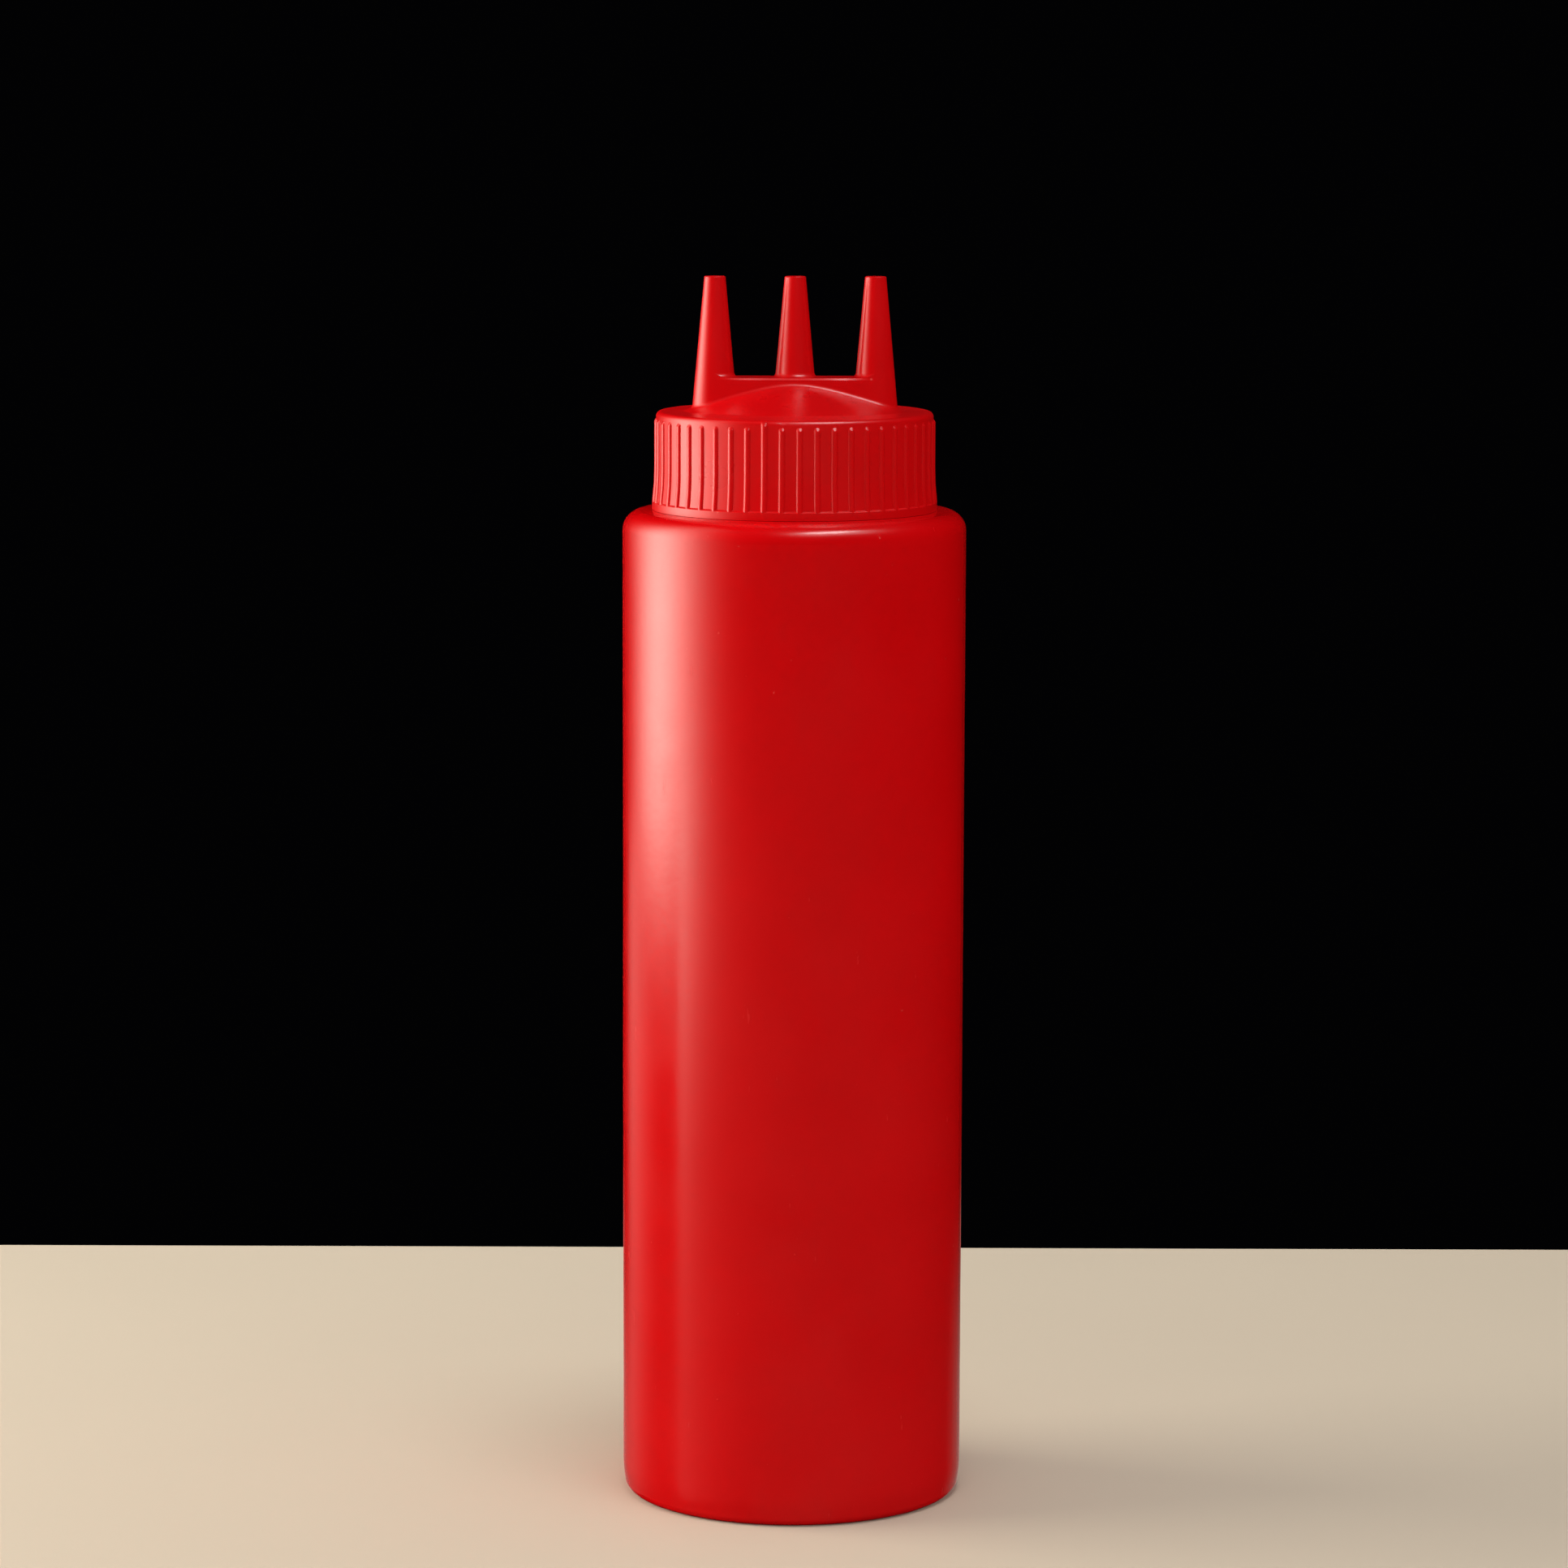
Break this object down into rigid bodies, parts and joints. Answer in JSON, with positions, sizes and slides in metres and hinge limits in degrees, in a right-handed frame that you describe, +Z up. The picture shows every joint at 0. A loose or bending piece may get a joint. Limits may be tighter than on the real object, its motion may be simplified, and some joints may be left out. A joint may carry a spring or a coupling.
{
  "type": "squeeze bottle",
  "caption": "Plain round squeeze bottle for sauce with a ribbed screw cap and a row of tapered nozzles on a low oval mound.",
  "frame": {"origin": "middle of the standing plane, under the axis of the bottle", "axes": "+Z up along the axis of the bottle, X along the row of nozzles, -Y towards the front"},
  "size_m": [0.068, 0.068, 0.2435],
  "materials": {
    "bottle": "smooth red blow-moulded polyethylene with a soft satin gloss",
    "cap": "smooth red injection-moulded plastic with a soft satin gloss"
  },
  "bodies": {
    "root": {"bottle": "bottle", "cap": "cap"}
  },
  "joints": []
}
